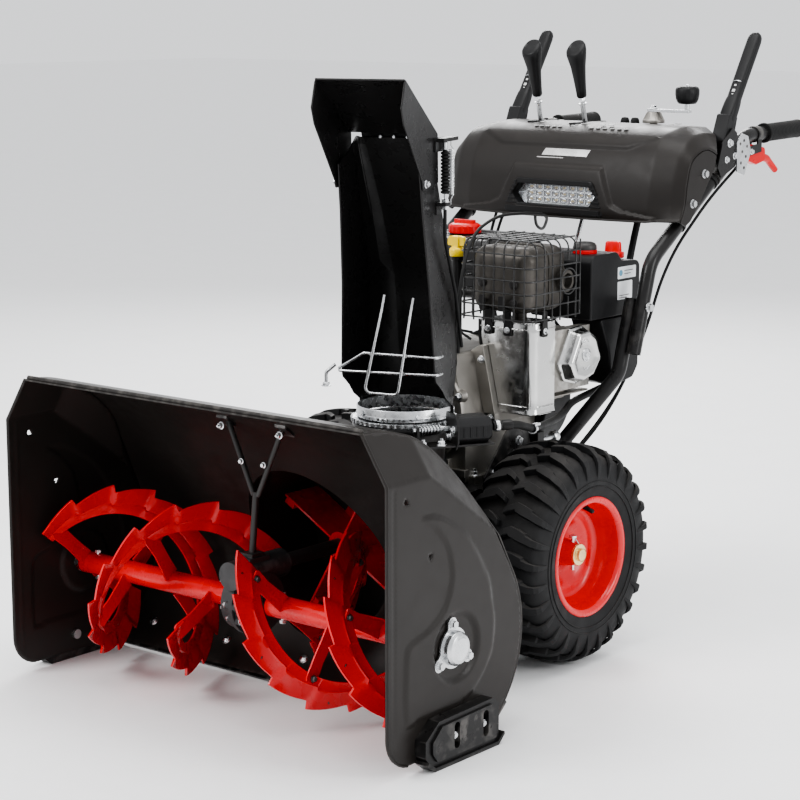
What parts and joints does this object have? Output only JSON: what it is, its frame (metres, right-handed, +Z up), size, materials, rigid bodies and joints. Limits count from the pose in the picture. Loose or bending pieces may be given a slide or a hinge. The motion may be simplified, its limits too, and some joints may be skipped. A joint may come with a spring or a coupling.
{
  "type": "two stage snowblower",
  "caption": "Wheeled walk-behind machine with a toothed auger in an open-fronted housing, an impeller drum, a turning chute with a tilting hood, an engine, and a console between long handles.",
  "frame": {"origin": "middle of the machine's footprint on the ground", "axes": "+Z up, +X to the machine's left side as seen by its operator facing -Y, +Y from the auger housing back to the hand grips"},
  "size_m": [0.928, 1.5621, 1.1384],
  "materials": {
    "housing_paint": "satin powder coat",
    "black_paint": "satin",
    "chute_paint": "semi-gloss",
    "red_paint": "gloss",
    "zinc": "bright zinc plate",
    "dark_steel": "satin",
    "cast_black": "painted casting",
    "cast_alloy": "as cast",
    "wire_black": "satin",
    "muffler_steel": "heat-resistant",
    "black_plastic": "textured",
    "dash_plastic": "fine texture",
    "red_plastic": "gloss",
    "yellow_plastic": "gloss",
    "rubber": "ribbed",
    "tyre_rubber": "matte",
    "clear_lens": "clear",
    "reflector": "bright"
  },
  "bodies": {
    "chassis": {"bucket_wrap": "housing_paint", "side_plate_left": "housing_paint", "side_plate_right": "housing_paint", "impeller_drum": "housing_paint", "scraper_bar": "black_paint", "skid_shoes": "black_paint", "auger_bearings": "zinc", "gearbox_strap": "dark_steel", "auger_gearbox_case": "cast_black", "drive_belt": "rubber", "belt_cover": "black_plastic", "chute_base": "black_paint", "chute_drive": "black_plastic", "transmission_case": "black_paint", "engine_crankcase": "cast_alloy", "cylinder_shroud": "zinc", "rocker_cover": "zinc", "muffler": "muffler_steel", "muffler_guard": "wire_black", "engine_covers": "black_plastic", "recoil_housing": "black_plastic", "fuel_tank": "black_paint", "oil_filler_tube": "black_paint", "dashboard": "dash_plastic", "headlight_housing": "reflector", "headlight_lens": "clear_lens", "lever_linkage": "zinc", "crank_hose": "rubber", "control_cables": "rubber", "frame_fasteners": "zinc", "hand_grips": "rubber", "control_brackets": "black_paint", "lower_handles": "black_paint", "upper_handles": "black_paint"},
    "auger": {"auger_shaft": "dark_steel", "auger_left": "red_paint", "auger_right": "red_paint"},
    "impeller": {"impeller": "red_paint", "impeller_shaft": "dark_steel"},
    "engine_shaft": {"crankshaft_pulley": "dark_steel"},
    "wheel_left": {"tyre_left": "tyre_rubber", "rim_left": "red_paint"},
    "wheel_right": {"tyre_right": "tyre_rubber", "rim_right": "red_paint"},
    "chute": {"chute_body": "chute_paint", "chute_ring": "zinc", "chute_guard": "zinc", "deflector_fittings": "zinc"},
    "deflector": {"chute_deflector": "chute_paint"},
    "crank": {"chute_crank": "cast_alloy"},
    "deflector_lever": {"deflector_lever": "black_plastic"},
    "speed_lever": {"speed_lever": "black_plastic"},
    "clutch_lever_left": {"clutch_lever_left": "black_plastic"},
    "clutch_lever_right": {"clutch_lever_right": "black_plastic"},
    "steering_trigger_left": {"steering_trigger_left": "red_plastic"},
    "steering_trigger_right": {"steering_trigger_right": "red_plastic"},
    "choke_knob": {"choke_knob": "red_plastic"},
    "fuel_cap": {"fuel_cap": "red_plastic"},
    "dipstick": {"dipstick": "yellow_plastic"},
    "recoil_handle": {"recoil_handle": "black_plastic"}
  },
  "joints": [
    {"name": "auger_spin", "type": "hinge", "parent": "chassis", "child": "auger", "pos_m": [0, -0.616, 0.182], "axis": [1, 0, 0], "continuous": true},
    {"name": "impeller_spin", "type": "hinge", "parent": "chassis", "child": "impeller", "pos_m": [0, -0.331, 0.236], "axis": [0, 1, 0], "continuous": true},
    {"name": "engine_spin", "type": "hinge", "parent": "chassis", "child": "engine_shaft", "pos_m": [0, -0.181, 0.45], "axis": [0, 1, 0], "continuous": true},
    {"name": "wheel_left_spin", "type": "hinge", "parent": "chassis", "child": "wheel_left", "pos_m": [-0.252, -0.066, 0.203], "axis": [1, 0, 0], "continuous": true},
    {"name": "wheel_right_spin", "type": "hinge", "parent": "chassis", "child": "wheel_right", "pos_m": [0.252, -0.066, 0.203], "axis": [1, 0, 0], "continuous": true},
    {"name": "chute_turn", "type": "hinge", "parent": "chassis", "child": "chute", "pos_m": [0.113, -0.341, 0.48], "axis": [0, 0, 1], "range_deg": [-119, 79]},
    {"name": "crank_turn", "type": "hinge", "parent": "chassis", "child": "crank", "pos_m": [0.1, 0.469, 0.96], "axis": [0, 0, 1], "range_deg": [-1200, 800]},
    {"name": "deflector_tilt", "type": "hinge", "parent": "chute", "child": "deflector", "pos_m": [0.14637, -0.44371, 0.899], "axis": [0.9511, 0.309, 0], "range_deg": [0, 45]},
    {"name": "deflector_lever_swing", "type": "hinge", "parent": "chassis", "child": "deflector_lever", "pos_m": [-0.133, 0.424, 0.88], "axis": [1, 0, 0], "range_deg": [-30, 0]},
    {"name": "speed_lever_swing", "type": "hinge", "parent": "chassis", "child": "speed_lever", "pos_m": [-0.023, 0.424, 0.88], "axis": [1, 0, 0], "range_deg": [-28, 10]},
    {"name": "clutch_lever_left_swing", "type": "hinge", "parent": "chassis", "child": "clutch_lever_left", "pos_m": [-0.255, 0.475, 0.925], "axis": [1, 0, 0], "range_deg": [-36, 0], "stiffness_Nm_per_rad": 1.5, "springref_deg": 17.19},
    {"name": "clutch_lever_right_swing", "type": "hinge", "parent": "chassis", "child": "clutch_lever_right", "pos_m": [0.255, 0.475, 0.925], "axis": [1, 0, 0], "range_deg": [-36, 0], "stiffness_Nm_per_rad": 1.5, "springref_deg": 17.19},
    {"name": "steering_trigger_left_swing", "type": "hinge", "parent": "chassis", "child": "steering_trigger_left", "pos_m": [-0.255, 0.571, 0.903], "axis": [1, 0, 0], "range_deg": [0, 12], "stiffness_Nm_per_rad": 1, "springref_deg": -11.46},
    {"name": "steering_trigger_right_swing", "type": "hinge", "parent": "chassis", "child": "steering_trigger_right", "pos_m": [0.255, 0.571, 0.903], "axis": [1, 0, 0], "range_deg": [0, 12], "stiffness_Nm_per_rad": 1, "springref_deg": -11.46},
    {"name": "choke_turn", "type": "hinge", "parent": "chassis", "child": "choke_knob", "pos_m": [0.166, 0.233, 0.72], "axis": [0, 0, 1], "range_deg": [0, 90]},
    {"name": "fuel_cap_turn", "type": "hinge", "parent": "chassis", "child": "fuel_cap", "pos_m": [-0.096, 0.103, 0.76], "axis": [0, 0, 1], "range_deg": [0, 90]},
    {"name": "dipstick_pull", "type": "slide", "parent": "chassis", "child": "dipstick", "axis": [0, 0, 1], "range_m": [0, 0.16]},
    {"name": "recoil_pull", "type": "slide", "parent": "chassis", "child": "recoil_handle", "axis": [0, 1, 0], "range_m": [0, 0.4], "stiffness_N_per_m": 8, "springref_m": -0.1}
  ],
  "couplings": [
    {"joint": "impeller_spin", "follows": "auger_spin", "ratio": 10},
    {"joint": "engine_spin", "follows": "auger_spin", "ratio": 24.7},
    {"joint": "crank_turn", "follows": "chute_turn", "ratio": 10},
    {"joint": "deflector_lever_swing", "follows": "deflector_tilt", "ratio": -0.66667}
  ]
}
